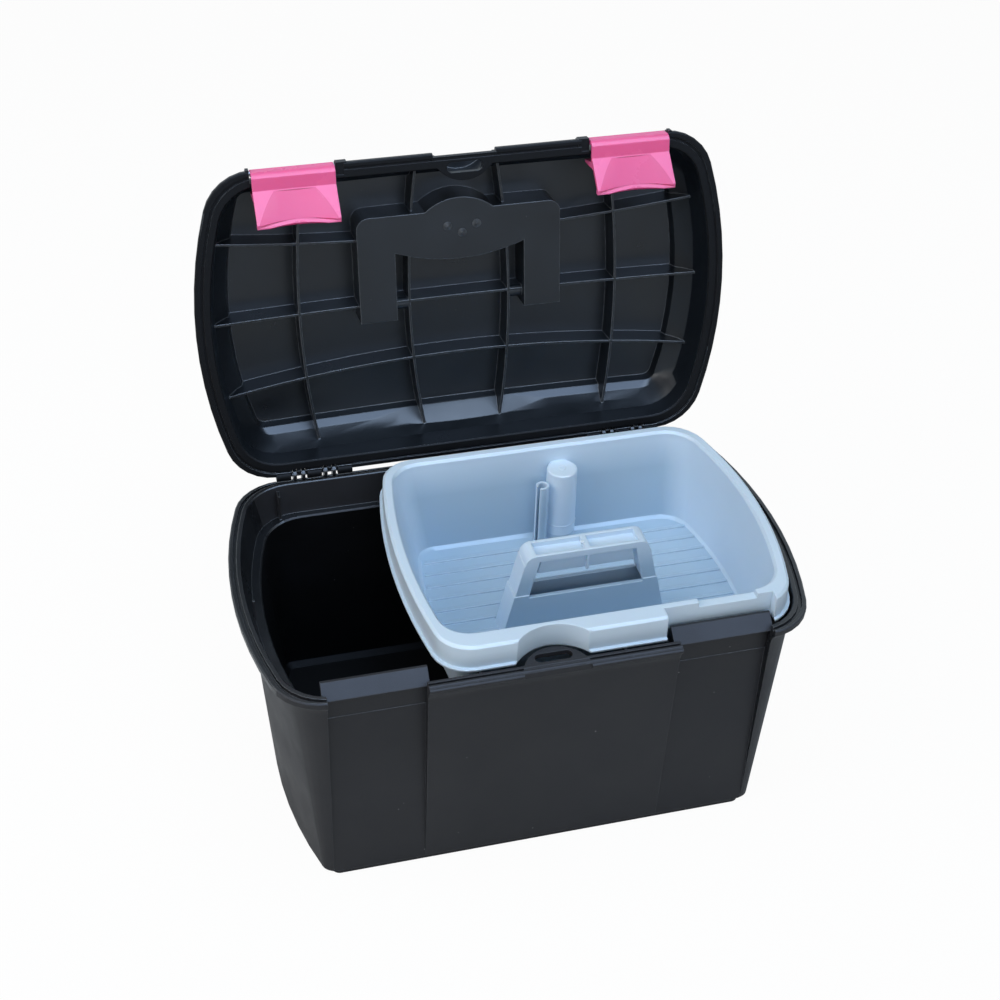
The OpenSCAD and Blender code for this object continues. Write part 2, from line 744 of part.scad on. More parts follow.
// Lid: skin, ribs, handle pocket with its bearings, padlock niche, latch cheeks and hinge knuckles
module lid_shell() {
  niche_r = tab_r + 1;
  boss_x = leg_in;
  color(black_lid)
    opened()
      difference() {
        union() {
          difference() {
            union() {
              lid_skin();
              lid_ribs();
              back_lens();
              translate([0, 0, base_h + pocket_floor])
                linear_extrude(lid_h - pocket_floor - wall + 0.4)
                  pocket_outline(0);
              both_sides()
                bar_x(boss_x - 11, boss_x + bond, axle_y, axle_z, axle_r + 1.6);
              intersection() {
                lock_niche(lid_z, lid_z + niche_h, niche_r);
                block([-niche_r, -lid_wall_w + 0.7, lid_z], [niche_r, 0, lid_z + niche_h]);
              }
            }
            lock_niche(lid_z + 4, lid_z + niche_h - wall, niche_r - wall + 0.4);
            both_sides()
              block([bay_x, -half_w - over, base_h - over],
                    [bay_x + bay_w, -lid_wall_w, lid_z + lid_flange + 6]);
          }
          padlock_tab(lid_z + 0.3, lid_z + 4, niche_r);
          both_sides()
            latch_cheeks();
          both_sides()
            for (i = [0 : 2]) {
              bar_x(lid_knuckle_x(i), lid_knuckle_x(i) + knuckle_l, hinge_y, hinge_z, knuckle_r);
              block([lid_knuckle_x(i), half_w - 6, lid_z + 0.5],
                [lid_knuckle_x(i) + knuckle_l, hinge_y, hinge_z + knuckle_r]);
            }
        }
        translate([0, 0, base_h + pocket_floor + wall])
          linear_extrude(lid_h)
            pocket_outline(wall);
        padlock_slot(lid_z - over, lid_z + 4 + over);
        both_sides()
          bar_x(boss_x - 9, boss_x + wall + over, axle_y, axle_z, axle_r + pin_clear);
        both_sides()
          bar_x(hinge_x - over, hinge_x + hinge_l + over, hinge_y, hinge_z, pin_r + pin_clear);
        both_sides()
          bar_x(bay_x - cheek_t - over, bay_x + bay_w + cheek_t + over, latch_y, latch_z, pin_r + pin_clear);
        both_sides()
          for (i = [0 : 3])
            block([ear_x(i) - ear_t / 2 - knuckle_gap, half_w - 5, base_h - over],
              [ear_x(i) + ear_t / 2 + knuckle_gap, hinge_y + knuckle_r + over, lid_z + lid_flange + 4]);
        along_x(-notch_w / 2, notch_w / 2)
          polygon([[-half_w - over, lid_z - over], [-half_w + 2.5, lid_z - over],
            [-half_w + 2.5, lid_z + lid_flange + over], [-half_w - over, lid_z + lid_flange + over]]);
      }
}

// Side outline of the carry handle: round at the pivot, rising to the grip
module handle_side() {
  r = axle_r + 3.2;
  tip = pocket_front + bump_h - wall - handle_gap;
  low = base_h + pocket_floor + wall + handle_gap;
  union() {
    translate([axle_y, axle_z])
      circle(r = r, $fn = 40);
    polygon([
      [axle_y, axle_z - r],
      [axle_y, axle_z + r],
      [axle_y - grip_w * 1.8, axle_z + r],
      [-tip + grip_w * 2.13, handle_z - grip_w / 3],
      [-tip + grip_w * 1.47, handle_z - grip_w * 0.13],
      [-tip + grip_w * 0.8, handle_z - grip_w * 0.2],
      [-tip, handle_z - grip_w * 0.6],
      [-tip, low + grip_w * 0.27],
      [-tip + grip_w * 0.27, low],
      [-tip + grip_w * 1.73, low]
    ]);
  }
}

// Carry handle lying in its pocket, with a stub axle on the inner face of each leg
module carry_handle() {
  d = wall + handle_gap;
  hw = pocket_w / 2 - d;
  leg = leg_in + d;
  tip = pocket_front - d;
  color(black_tub)
    opened()
      union() {
        difference() {
          intersection() {
            along_x(-hw - over, hw + over)
              handle_side();
            translate([0, 0, base_h])
              linear_extrude(lid_h + 10)
                union() {
                  soft_front(hw, -tip, pocket_back + over, 8);
                  translate([0, -pocket_front + bump_r - bump_h])
                    circle(r = bump_r - d, $fn = 96);
                }
          }
          block([-leg, -tip + grip_w, base_h], [leg, pocket_back + over, lid_top + over]);
        }
        both_sides()
          bar_x(leg - 9, leg + bond, axle_y, axle_z, axle_r);
      }
}

// Side outline of a latch about its pin at (0, 0), shut: barrel, arm, plate, hook and flared tail
module latch_side() {
  tail = latch_len + crease_z;
  front = -latch_off - latch_t;
  end_y = front - tail * sin(latch_flare);
  end_z = crease_z - tail * cos(latch_flare);
  sole = hook_z - 3.4;
  root_y = front + latch_t * cos(latch_flare)
    - (crease_z - latch_t * sin(latch_flare) - sole) * tan(latch_flare);
  union() {
    circle(r = pin_r + 1.05, $fn = 40);
    polygon([
      [1, 2.4],
      [-latch_off + 1.4, 2.4],
      [front + 1.6, 1.2],
      [front, -0.8],
      [front, crease_z],
      [end_y, end_z],
      [end_y + 0.8, end_z - latch_lip],
      [end_y + 4.2, end_z - latch_lip + 0.4],
      [end_y + 4, end_z + 0.6],
      [root_y, sole],
      [5.6, hook_z - 3],
      [6, hook_z - 0.8],
      [-latch_off, hook_z + 0.6],
      [-latch_off, -0.4],
      [-2.2, -1.4]
    ]);
  }
}

// Latch in its bay: its tail has a finger scoop, a lip at the end and a hollowed lower edge
module latch() {
  mid = latch_mid;
  tail = latch_len + crease_z;
  scoop = latch_w * 3;
  span = latch_w * 0.81;
  bow = span * span / (8 * latch_hollow) + latch_hollow / 2;
  color(pink)
    opened()
      translate([0, latch_y, latch_z])
        rotate([latch_turn, 0, 0])
          difference() {
            along_x(mid - latch_w / 2, mid + latch_w / 2)
              latch_side();
            bar_x(mid - latch_w, mid + latch_w, 0, 0, pin_r + pin_clear);
            translate([mid, -latch_off - latch_t, crease_z])
              rotate([-latch_flare, 0, 0])
                for (c = [[-tail, 2.1], [-tail - latch_lip * 0.85, 12]])
                  translate([0, c[1], c[0] - bow + latch_hollow])
                    rotate([90, 0, 0])
                      cylinder(h = c[1] + 8, r = bow, $fn = 180);
            translate([mid, -latch_off - latch_t, crease_z - over])
              rotate([-latch_flare + 3.8, 0, 0])
                translate([0, -scoop, -60])
                  cylinder(h = 60, r = scoop, $fn = 360);
          }
}

// Ring of the tray at height z, drawn in from its flange at the left, in front, behind and at the right
function tray_ring(z, l, f, b, e) =
  let (
    near = end_r - rim_in_l - tray_gap - e,
    far = tray_end_r - l,
    half = tray_half - (l + e) / 2,
    p = outline(half, tray_front - f, tray_back - b, near, max(31 - e * 0.5, 8), far, max(26 - l * 0.35, 8))
  )
  [for (q = p) [q[0] + tray_x + (l - e) / 2, q[1], z]];

// Tray moulding: floor, walls, rim, skirt with its flange and the hollow under the rim
module tray_skin() {
  t = tray_wall;
  r = tray_rim;
  f = tray_rim_front;
  mid_z = tray_floor + tray_d * 0.5;
  loft([
    tray_ring(tray_floor - t, r + 20 - t, f + 10 - t, r + 13 - t, r + 6 - t),
    tray_ring(tray_floor + 2 - t, r + 17 - t, f + 7 - t, r + 10 - t, r + 4 - t),
    tray_ring(mid_z, r + 8.5 - t, f + 3.5 - t, r + 5 - t, r + tray_draw - t),
    tray_ring(tray_top - t, r - t, f - t, r - t, r - t),
    tray_ring(tray_top - t, 2.6 + t, 2.6 + t, 2.6 + t, 2.6 + t),
    tray_ring(tray_foot, 2 + t, 2 + t, 2 + t, 2 + t),
    tray_ring(tray_foot, 0, 0, 0, 0),
    tray_ring(tray_foot + 1.6, 0, 0, 0, 0),
    tray_ring(tray_foot + 2, 2, 2, 2, 2),
    tray_ring(tray_top - 1.6, 2.6, 2.6, 2.6, 2.6),
    tray_ring(tray_top, 4.4, 4.4, 4.4, 4.4),
    tray_ring(tray_top, r - 1.8, f - 1.8, r - 1.8, r - 1.8),
    tray_ring(tray_top - 2, r, f, r, r),
    tray_ring(mid_z, r + 8.5, f + 3.5, r + 5, r + tray_draw),
    tray_ring(tray_floor + 2, r + 17, f + 7, r + 10, r + 4),
    tray_ring(tray_floor, r + 20, f + 10, r + 13, r + 6)
  ]);
}

// Ridges along the tray floor, ending just short of its walls
module tray_ridges() {
  start = tray_rim_front + 22.5;
  pitch = (tray_front + tray_back - start - tray_rim - 26.5) / (ridge_n - 1);
  for (i = [0 : ridge_n - 1]) {
    y = -tray_front + start + i * pitch;
    x0 = tray_x - tray_half + tray_rim + 21.5 + y * y / (2 * tray_end_r - 62);
    x1 = tray_x + tray_half - tray_rim - 7 - y * y / (2 * end_r - 56);
    block([x0, y - 1.5, tray_floor - bond], [x1, y + 1.5, tray_floor + 1.3]);
  }
}

// Trapezium of the tray handle, drawn in by d
module grip_outline(d, h0, h1) {
  foot = grip_l / 2;
  slope = 16 / grip_h;
  polygon([
    [-foot + slope * h0 + d, h0],
    [foot - slope * h0 - d, h0],
    [foot - slope * h1 - d, h1],
    [-foot + slope * h1 + d, h1]
  ]);
}

// Upright slab of the tray handle between two depths
module grip_slab(y0, y1) {
  translate([tray_x, y1, tray_floor])
    rotate([90, 0, 0])
      linear_extrude(y1 - y0)
        children();
}

// Tray handle: a bridge with a hand hole, hollow below and a channel on top; its bar stands back in the frame
module tray_grip() {
  mid = -13;
  y0 = mid - grip_t / 2;
  y1 = mid + grip_t / 2;
  frame = 10.5;
  hole0 = grip_h * 0.48;
  hole1 = grip_h * 0.744;
  strip = grip_h - 5.5;
  difference() {
    union() {
      grip_slab(y0, y1)
        union() {
          grip_outline(0, -bond, grip_h - 8);
          hull() {
            for (s = [-1, 1])
              translate([s * (grip_l / 2 - 16 - 7), grip_h - 8])
                circle(r = 8, $fn = 32);
            grip_outline(0.4, grip_h - 14, grip_h - 9);
          }
        }
      grip_slab(y0 - grip_proud, y1 + grip_proud)
        grip_outline(-grip_proud, -bond, hole0 + 2.3);
    }
    grip_slab(y0 - 2 * over, y1 + 2 * over)
      union() {
        grip_outline(frame, hole0, hole1);
        difference() {
          grip_outline(frame, hole1 - over, strip);
          grip_outline(frame + 2.5, hole1 - 2 * over, strip + over);
        }
      }
    for (y = [y0 - 2 * over, y1 - grip_back])
      grip_slab(y, y + grip_back + 2 * over)
        difference() {
          grip_outline(frame + over, hole1 - over, strip);
          translate([-tray_wall / 3, 0])
            square([tray_wall / 1.5, grip_h]);
        }
    grip_slab(y0 + tray_wall, y1 - tray_wall)
      grip_outline(tray_wall + 1, 1.4, hole0 + over);
    for (s = [-1, 1])
      translate([tray_x + s * 20, mid, tray_floor + grip_h])
        cube([36, grip_t - 5, 8], center = true);
  }
}

// Space inside the tray up to the middle of its walls
module tray_core() {
  m = tray_wall / 2;
  r = tray_rim - m;
  f = tray_rim_front - m;
  loft([
    tray_ring(tray_floor - m, r + 20, f + 10, r + 13, r + 6),
    tray_ring(tray_floor + tray_d * 0.5, r + 8.5, f + 3.5, r + 5, r + tray_draw),
    tray_ring(tray_top, r, f, r, r)
  ]);
}

// Post and spring clip at the back wall of the tray
module tray_post() {
  x = tray_x + 12.5;
  y = tray_back - tray_rim - 11.5;
  clip_x = x - post_d / 2 - 5;
  intersection() {
    translate([x, y, tray_floor - bond])
      rotate_extrude($fn = 48)
        polygon(concat(
          [[0, 0], [post_d / 2, 0]],
          arc_points(post_d * 0.466 - 1.5, post_h + bond - 1.5, 1.5, 0, 90, 5),
          [[0, post_h + bond]]
        ));
    tray_core();
  }
  translate([clip_x, y - 8, tray_floor - bond])
    difference() {
      cylinder(h = post_h - 7, d = 10, $fn = 32);
      translate([0, 0, bond + 1])
        cylinder(h = post_h, d = 6.8, $fn = 32);
      rotate(215)
        translate([0, -1.3, bond + 1])
          cube([8, 2.6, post_h]);
    }
}

// Tray: skin with its front notch and the step behind the right-hand catch, ridges, handle, post and clip
module tray() {
  arc_y = -tray_front + 13.5 - arc_r;
  step_y = -catch_in + 4.5;
  step_x0 = bay_x - 7;
  step_x1 = bay_x + bay_w + 5;
  color(grey_blue)
    union() {
      difference() {
        union() {
          tray_skin();
          intersection() {
            translate([0, arc_y, tray_foot])
              cylinder(h = skirt_h - 0.6, r = arc_r + tray_wall, $fn = 96);
            block([-40, -tray_front + 3, tray_foot], [40, -tray_front + 17, tray_top - 0.6]);
          }
          block([step_x0 - tray_wall, -tray_front + 3, tray_foot], [step_x0, step_y, tray_top - 0.8]);
          block([step_x0 - tray_wall, step_y, tray_foot],
                [step_x1 + tray_wall, step_y + tray_wall, tray_top - 0.8]);
          block([step_x1, -tray_front + 6, tray_foot], [step_x1 + tray_wall, step_y, tray_top - 0.8]);
          block([step_x1 - 54, step_y + 0.5, tray_top - 7],
            [step_x1 - 10, -tray_front + tray_rim_front - 0.6, tray_top - 3]);
        }
        translate([0, arc_y, tray_foot - over])
          cylinder(h = skirt_h + 2 * over, r = arc_r, $fn = 96);
        block([step_x0, -tray_front - over, tray_foot - over], [step_x1, step_y, tray_top + over]);
        block([step_x1 - 53, step_y - over, tray_top - 4],
              [step_x1 - 11, step_y + tray_wall + 6, tray_top + over]);
      }
      tray_ridges();
      tray_grip();
      tray_post();
    }
}

// Pin of one hinge
module hinge_pin() {
  color(steel)
    bar_x(hinge_x + 0.5, hinge_x + hinge_l - 0.5, hinge_y, hinge_z, pin_r);
}

// Pin of one latch
module latch_pin() {
  color(steel)
    opened()
      bar_x(bay_x - cheek_t + 0.2, bay_x + bay_w + cheek_t - 0.2, latch_y, latch_z, pin_r);
}

base_tub();
lid_shell();
tray();
carry_handle();
mirror([1, 0, 0]) latch();  // latch_left
latch();  // latch_right
mirror([1, 0, 0]) hinge_pin();  // hinge_pin_left
hinge_pin();  // hinge_pin_right
mirror([1, 0, 0]) latch_pin();  // latch_pin_left
latch_pin();  // latch_pin_right
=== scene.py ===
"""Looks of a plastic grooming box: black tub and lid, pink latches, pale grey-blue tray.

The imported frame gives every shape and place. Each moulding is shown by a welded, smooth copy of its
node, dressed with grained or polished plastic, and gets the small marks that its mould leaves.
Metres, +Z up, the front faces -Y; the lid stands open.
"""

from __future__ import annotations

import json
import logging
import math
from dataclasses import dataclass, field
from enum import Enum
from typing import Callable, Optional

import bmesh
import bpy
from mathutils import Matrix, Vector

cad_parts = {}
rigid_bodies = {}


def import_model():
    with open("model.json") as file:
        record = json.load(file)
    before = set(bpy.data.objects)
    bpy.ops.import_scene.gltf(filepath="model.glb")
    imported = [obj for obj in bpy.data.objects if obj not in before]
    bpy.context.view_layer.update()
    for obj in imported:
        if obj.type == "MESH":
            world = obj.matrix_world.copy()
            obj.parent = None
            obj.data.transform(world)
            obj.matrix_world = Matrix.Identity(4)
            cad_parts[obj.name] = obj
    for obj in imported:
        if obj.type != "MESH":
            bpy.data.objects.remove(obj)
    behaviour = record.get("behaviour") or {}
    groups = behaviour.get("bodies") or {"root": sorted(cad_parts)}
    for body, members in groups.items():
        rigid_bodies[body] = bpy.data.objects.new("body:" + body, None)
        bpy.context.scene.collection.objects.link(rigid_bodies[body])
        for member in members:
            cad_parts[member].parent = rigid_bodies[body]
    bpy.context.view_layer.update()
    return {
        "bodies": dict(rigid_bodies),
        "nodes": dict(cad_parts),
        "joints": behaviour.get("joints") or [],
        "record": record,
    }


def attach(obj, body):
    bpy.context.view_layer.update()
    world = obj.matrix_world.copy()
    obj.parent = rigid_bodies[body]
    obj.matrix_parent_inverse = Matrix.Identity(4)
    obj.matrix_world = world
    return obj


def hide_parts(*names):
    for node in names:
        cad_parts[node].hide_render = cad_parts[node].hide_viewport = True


LOG = logging.getLogger("grooming_box")
MM = 0.001
HALF_LENGTH = 200 * MM
HALF_WIDTH = 120 * MM
Colour = tuple[float, float, float, float]


# Finishes


class NodeSheet:
    """Adds and links the nodes of one material."""

    def __init__(self, name: str) -> None:
        """Start an empty material.

        Args:
            name: Name of the material.
        """
        self.material = bpy.data.materials.new(name)
        self.material.use_nodes = True
        self.tree = self.material.node_tree
        self.tree.nodes.clear()
        self.place = self.add("ShaderNodeTexCoord").outputs["Object"]

    def add(self, kind: str, **settings: object) -> bpy.types.Node:
        """Add a node.

        Args:
            kind: Blender's name of the node type.
            settings: Attributes to set on the node.

        Returns:
            The new node.
        """
        node = self.tree.nodes.new(kind)
        for key, value in settings.items():
            setattr(node, key, value)
        return node

    def link(self, source: bpy.types.NodeSocket, target: bpy.types.NodeSocket) -> None:
        """Join an output to an input.

        Args:
            source: The output.
            target: The input it feeds.
        """
        self.tree.links.new(source, target)

    def noise(
        self, scale: float, detail: float, stretch: Vector = Vector((1, 1, 1))
    ) -> bpy.types.NodeSocket:
        """Add a noise pattern on the piece's own coordinates.

        Args:
            scale: Waves per metre.
            detail: Number of finer layers.
            stretch: Factors on the three axes.

        Returns:
            The pattern, about 0 to 1.
        """
        place = self.add("ShaderNodeMapping")
        place.inputs["Scale"].default_value = stretch
        self.link(self.place, place.inputs["Vector"])
        noise = self.add("ShaderNodeTexNoise")
        noise.inputs["Scale"].default_value = scale
        noise.inputs["Detail"].default_value = detail
        noise.inputs["Roughness"].default_value = 0.55
        self.link(place.outputs["Vector"], noise.inputs["Vector"])
        return noise.outputs["Fac"]

    def remap(self, value: bpy.types.NodeSocket, source: tuple, target: tuple) -> bpy.types.NodeSocket:
        """Map one range of a pattern on another, clamped.

        Args:
            value: The pattern.
            source: Its lowest and highest value.
            target: What these become.

        Returns:
            The mapped pattern.
        """
        node = self.add("ShaderNodeMapRange")
        self.link(value, node.inputs["Value"])
        node.inputs["From Min"].default_value, node.inputs["From Max"].default_value = source
        node.inputs["To Min"].default_value, node.inputs["To Max"].default_value = target
        return node.outputs["Result"]

    def times(self, a: bpy.types.NodeSocket, b: bpy.types.NodeSocket) -> bpy.types.NodeSocket:
        """Multiply two patterns.

        Args:
            a: One pattern.
            b: The other one.

        Returns:
            Their product.
        """
        node = self.add("ShaderNodeMath", operation="MULTIPLY")
        self.link(a, node.inputs[0])
        self.link(b, node.inputs[1])
        return node.outputs["Value"]

    def mix(self, share: bpy.types.NodeSocket, low: object, high: object) -> bpy.types.NodeSocket:
        """Blend two colours.

        Args:
            share: 0 gives the low colour, 1 the high one.
            low: A colour, or an output that gives one.
            high: A colour, or an output that gives one.

        Returns:
            The blended colour.
        """
        node = self.add("ShaderNodeMix", data_type="RGBA")
        self.link(share, node.inputs["Factor"])
        for value, socket in ((low, node.inputs[6]), (high, node.inputs[7])):
            if isinstance(value, bpy.types.NodeSocket):
                self.link(value, socket)
            else:
                socket.default_value = value
        return node.outputs[2]


@dataclass(frozen=True)
class MouldedPlastic:
    """Injection-moulded plastic: colour, gloss, mould grain, soft edges, paler edges that are partly scuffs
    and partly painted highlight, optional painted shade low inside, and dust.
    """

    name: str
    colour: Colour
    mottle: float = 0.12
    # Paler colour on edges: partly rubbed wear, partly painted highlight.
    edge: Colour = (0.1, 0.1, 0.105, 1)
    edge_share: float = 0.5
    edge_radius: float = 0.7 * MM
    roughness: tuple[float, float] = (0.35, 0.5)
    specular: float = 0.5
    grain: float = 1400.0
    grain_depth: float = 0.05 * MM
    ripple: float = 60.0
    ripple_depth: float = 0.06 * MM
    dust: float = 0.0
    dust_colour: Colour = (0.45, 0.45, 0.46, 1)
    translucent: float = 0.0
    # Painted shade: a darker colour painted low inside a hollow, in place of the shade its walls give.
    painted_shade: Colour = (0, 0, 0, 1)
    painted_shade_share: float = 0.0
    painted_shade_z: tuple[float, float] = (191 * MM, 168 * MM)

    def make(self) -> bpy.types.Material:
        """Build the material.

        Returns:
            The finished material.
        """
        sheet = NodeSheet(self.name)
        out = sheet.add("ShaderNodeOutputMaterial")
        skin = sheet.add("ShaderNodeBsdfPrincipled")
        skin.inputs["Specular IOR Level"].default_value = self.specular
        if self.translucent:
            skin.inputs["Subsurface Weight"].default_value = self.translucent
            skin.inputs["Subsurface Scale"].default_value = 2 * MM
        sheet.link(skin.outputs["BSDF"], out.inputs["Surface"])
        soft = sheet.add("ShaderNodeBevel", samples=6)
        soft.inputs["Radius"].default_value = self.edge_radius
        sheet.link(self._tint(sheet, soft), skin.inputs["Base Color"])
        cloud = sheet.noise(23.0, 5.0)
        sheet.link(sheet.remap(cloud, (0.3, 0.7), self.roughness), skin.inputs["Roughness"])
        sheet.link(self._relief(sheet, soft), skin.inputs["Normal"])
        return sheet.material

    def _tint(self, sheet: NodeSheet, soft: bpy.types.Node) -> bpy.types.NodeSocket:
        """Colour with slow mottling, painted shade low inside, paler edges that are partly rubbed wear and
        partly painted highlight, and specks of dust.

        Args:
            sheet: The material's nodes.
            soft: The node that rounds the edges.

        Returns:
            The colour.
        """
        dark = tuple(c * (1 - self.mottle) for c in self.colour[:3]) + (1,)
        pale = tuple(min(c * (1 + self.mottle), 1.0) for c in self.colour[:3]) + (1,)
        cloud = sheet.remap(sheet.noise(9.0, 6.0), (0.3, 0.7), (0, 1))
        colour = sheet.mix(cloud, dark, pale)
        flat = sheet.add("ShaderNodeNewGeometry").outputs["Normal"]
        # Painted shade: blend towards the darker colour low down inside.
        if self.painted_shade_share:
            colour = sheet.mix(self._painted_shade_mask(sheet, flat), colour, self.painted_shade)
        turn = sheet.add("ShaderNodeVectorMath", operation="DOT_PRODUCT")
        sheet.link(soft.outputs["Normal"], turn.inputs[0])
        sheet.link(flat, turn.inputs[1])
        # Paler edges: partly rubbed wear, partly painted highlight along the rounded edges.
        rubbed_and_highlit = sheet.remap(turn.outputs["Value"], (0.995, 0.8), (0, self.edge_share))
        broken = sheet.remap(sheet.noise(240.0, 3.0), (0.25, 0.6), (0.25, 1))
        colour = sheet.mix(sheet.times(rubbed_and_highlit, broken), colour, self.edge)
        if self.dust:
            cells = sheet.add("ShaderNodeTexVoronoi", feature="F1")
            cells.inputs["Scale"].default_value = 95.0
            sheet.link(sheet.place, cells.inputs["Vector"])
            spot = sheet.remap(cells.outputs["Distance"], (0.055, 0.02), (0, 1))
            sparse = sheet.remap(sheet.noise(31.0, 2.0), (0.56, 0.66), (0, self.dust))
            colour = sheet.mix(sheet.times(spot, sparse), colour, self.dust_colour)
        return colour

    def _painted_shade_mask(self, sheet: NodeSheet, flat: bpy.types.NodeSocket) -> bpy.types.NodeSocket:
        """Share of the painted shade, a darker colour standing in for shade: low down, and not on the end
        walls that the side light fills.

        Args:
            sheet: The material's nodes.
            flat: The surface normal.

        Returns:
            The share, 0 to the painted shade's full share.
        """
        place = sheet.add("ShaderNodeSeparateXYZ")
        sheet.link(sheet.place, place.inputs[0])
        low = sheet.remap(place.outputs["Z"], self.painted_shade_z, (0, self.painted_shade_share))
        turn = sheet.add("ShaderNodeSeparateXYZ")
        sheet.link(flat, turn.inputs[0])
        side = sheet.add("ShaderNodeMath", operation="ABSOLUTE")
        sheet.link(turn.outputs["X"], side.inputs[0])
        return sheet.times(low, sheet.remap(side.outputs["Value"], (0.25, 0.9), (1, 0.1)))

    def _relief(self, sheet: NodeSheet, soft: bpy.types.Node) -> bpy.types.NodeSocket:
        """Rounded edges, slow sink ripples and fine mould grain.

        Args:
            sheet: The material's nodes.
            soft: The node that rounds the edges.

        Returns:
            The surface normal.
        """
        normal = soft.outputs["Normal"]
        layers = ((self.ripple, 2.0, self.ripple_depth), (self.grain, 3.0, self.grain_depth))
        for scale, detail, depth in layers:
            bump = sheet.add("ShaderNodeBump")
            bump.inputs["Strength"].default_value = 1.0
            bump.inputs["Distance"].default_value = depth
            sheet.link(sheet.noise(scale, detail), bump.inputs["Height"])
            sheet.link(normal, bump.inputs["Normal"])
            normal = bump.outputs["Normal"]
        return normal


@dataclass(frozen=True)
class DrawnSteel:
    """Steel rod with lengthwise drawing lines."""

    name: str = "pin_drawn_steel"
    colour: Colour = (0.42, 0.43, 0.45, 1)

    def make(self) -> bpy.types.Material:
        """Build the material.

        Returns:
            The finished material.
        """
        sheet = NodeSheet(self.name)
        out = sheet.add("ShaderNodeOutputMaterial")
        skin = sheet.add("ShaderNodeBsdfPrincipled")
        skin.inputs["Metallic"].default_value = 1.0
        lines = sheet.noise(900.0, 4.0, Vector((0.02, 1, 1)))
        dull = tuple(c * 0.75 for c in self.colour[:3]) + (1,)
        sheet.link(sheet.mix(lines, dull, self.colour), skin.inputs["Base Color"])
        sheet.link(sheet.remap(lines, (0.3, 0.7), (0.28, 0.45)), skin.inputs["Roughness"])
        sheet.link(skin.outputs["BSDF"], out.inputs["Surface"])
        return sheet.material


class Finish(Enum):
    """The finishes of the box."""

    # Each edge colour below is paler than its body: partly rubbed wear, partly painted highlight.
    TUB_GRAINED = MouldedPlastic(
        "tub_grained_black", (0.019, 0.0185, 0.0205, 1), edge=(0.085, 0.087, 0.094, 1), edge_share=0.65,
        roughness=(0.42, 0.55), specular=0.22, grain=1500.0, grain_depth=0.09 * MM, dust=0.7)
    # Dull inside: its near-black colour is painted shade inside the tub.
    TUB_INSIDE = MouldedPlastic(
        "tub_inside_painted_shade", (0.003, 0.003, 0.0033, 1), edge=(0.01, 0.01, 0.011, 1), roughness=(0.5, 0.62),
        specular=0.12, dust=0.35)
    RIM_SMOOTH = MouldedPlastic(
        "rim_smooth_black", (0.008, 0.0088, 0.0105, 1), edge=(0.2, 0.21, 0.225, 1), edge_share=0.8,
        roughness=(0.24, 0.36), specular=0.5, grain_depth=0.012 * MM, dust=0.3)
    LID_INSIDE = MouldedPlastic(
        "lid_inside_black", (0.006, 0.0082, 0.0115, 1), edge=(0.2, 0.215, 0.235, 1), edge_share=0.85,
        edge_radius=1.1 * MM, roughness=(0.27, 0.37), specular=0.46, grain=1300.0, grain_depth=0.012 * MM,
        ripple=30.0, ripple_depth=0.06 * MM, dust=0.12)
    LATCH_PINK = MouldedPlastic(
        "latch_gloss_pink", (0.95, 0.135, 0.355, 1), mottle=0.04, edge=(0.88, 0.34, 0.54, 1),
        edge_share=0.55, edge_radius=0.8 * MM, roughness=(0.22, 0.3), specular=0.32, grain_depth=0.006 * MM,
        ripple_depth=0.03 * MM, translucent=0.12)
    TRAY_BLUE = MouldedPlastic(
        "tray_smooth_blue", (0.655, 0.785, 0.915, 1), mottle=0.035, edge=(0.78, 0.9, 1.0, 1),
        edge_share=0.7,
        edge_radius=1.2 * MM, roughness=(0.3, 0.42), specular=0.45, grain_depth=0.012 * MM, ripple=34.0,
        # Its darker second colour is painted shade low in the tray.
        ripple_depth=0.07 * MM, translucent=0.05, painted_shade=(0.43, 0.565, 0.69, 1), painted_shade_share=1.0)
    # The tray's blue, a touch paler and without the painted shade: painted light on the front of the post.
    TRAY_POST = MouldedPlastic(
        "tray_post_painted_light", (0.7, 0.82, 0.94, 1), mottle=0.035, edge=(0.78, 0.9, 1.0, 1), edge_share=0.7,
        edge_radius=1.2 * MM, roughness=(0.3, 0.42), specular=0.45, grain_depth=0.012 * MM, ripple=34.0,
        ripple_depth=0.07 * MM, translucent=0.05)
    # Deeper pink in the finger scoop: painted shade.
    LATCH_SCOOP = MouldedPlastic(
        "latch_scoop_painted_shade", (0.8, 0.07, 0.235, 1), mottle=0.04, edge=(0.86, 0.3, 0.5, 1), edge_share=0.3,
        edge_radius=0.8 * MM, roughness=(0.22, 0.3), specular=0.32, grain_depth=0.006 * MM,
        ripple_depth=0.03 * MM, translucent=0.12)
    GATE_WHITE = MouldedPlastic(
        "gate_pale", (0.72, 0.8, 0.88, 1), mottle=0.05, edge=(0.9, 0.94, 0.98, 1), roughness=(0.3, 0.4),
        grain_depth=0.02 * MM)
    PIN_STEEL = DrawnSteel()

    def material(self) -> bpy.types.Material:
        """Give the material of this finish, made on its first use.

        Returns:
            The material.
        """
        return bpy.data.materials.get(self.value.name) or self.value.make()


# Meshes


def link_mesh(name: str, shape: bmesh.types.BMesh) -> bpy.types.Object:
    """Turn a bmesh into an object at the origin.

    Args:
        name: Name of the object.
        shape: The mesh, which is freed.

    Returns:
        The new object.
    """
    mesh = bpy.data.meshes.new(name)
    shape.to_mesh(mesh)
    shape.free()
    piece = bpy.data.objects.new(name, mesh)
    bpy.context.scene.collection.objects.link(piece)
    return piece


Zoning = Callable[[Vector, Vector], int]


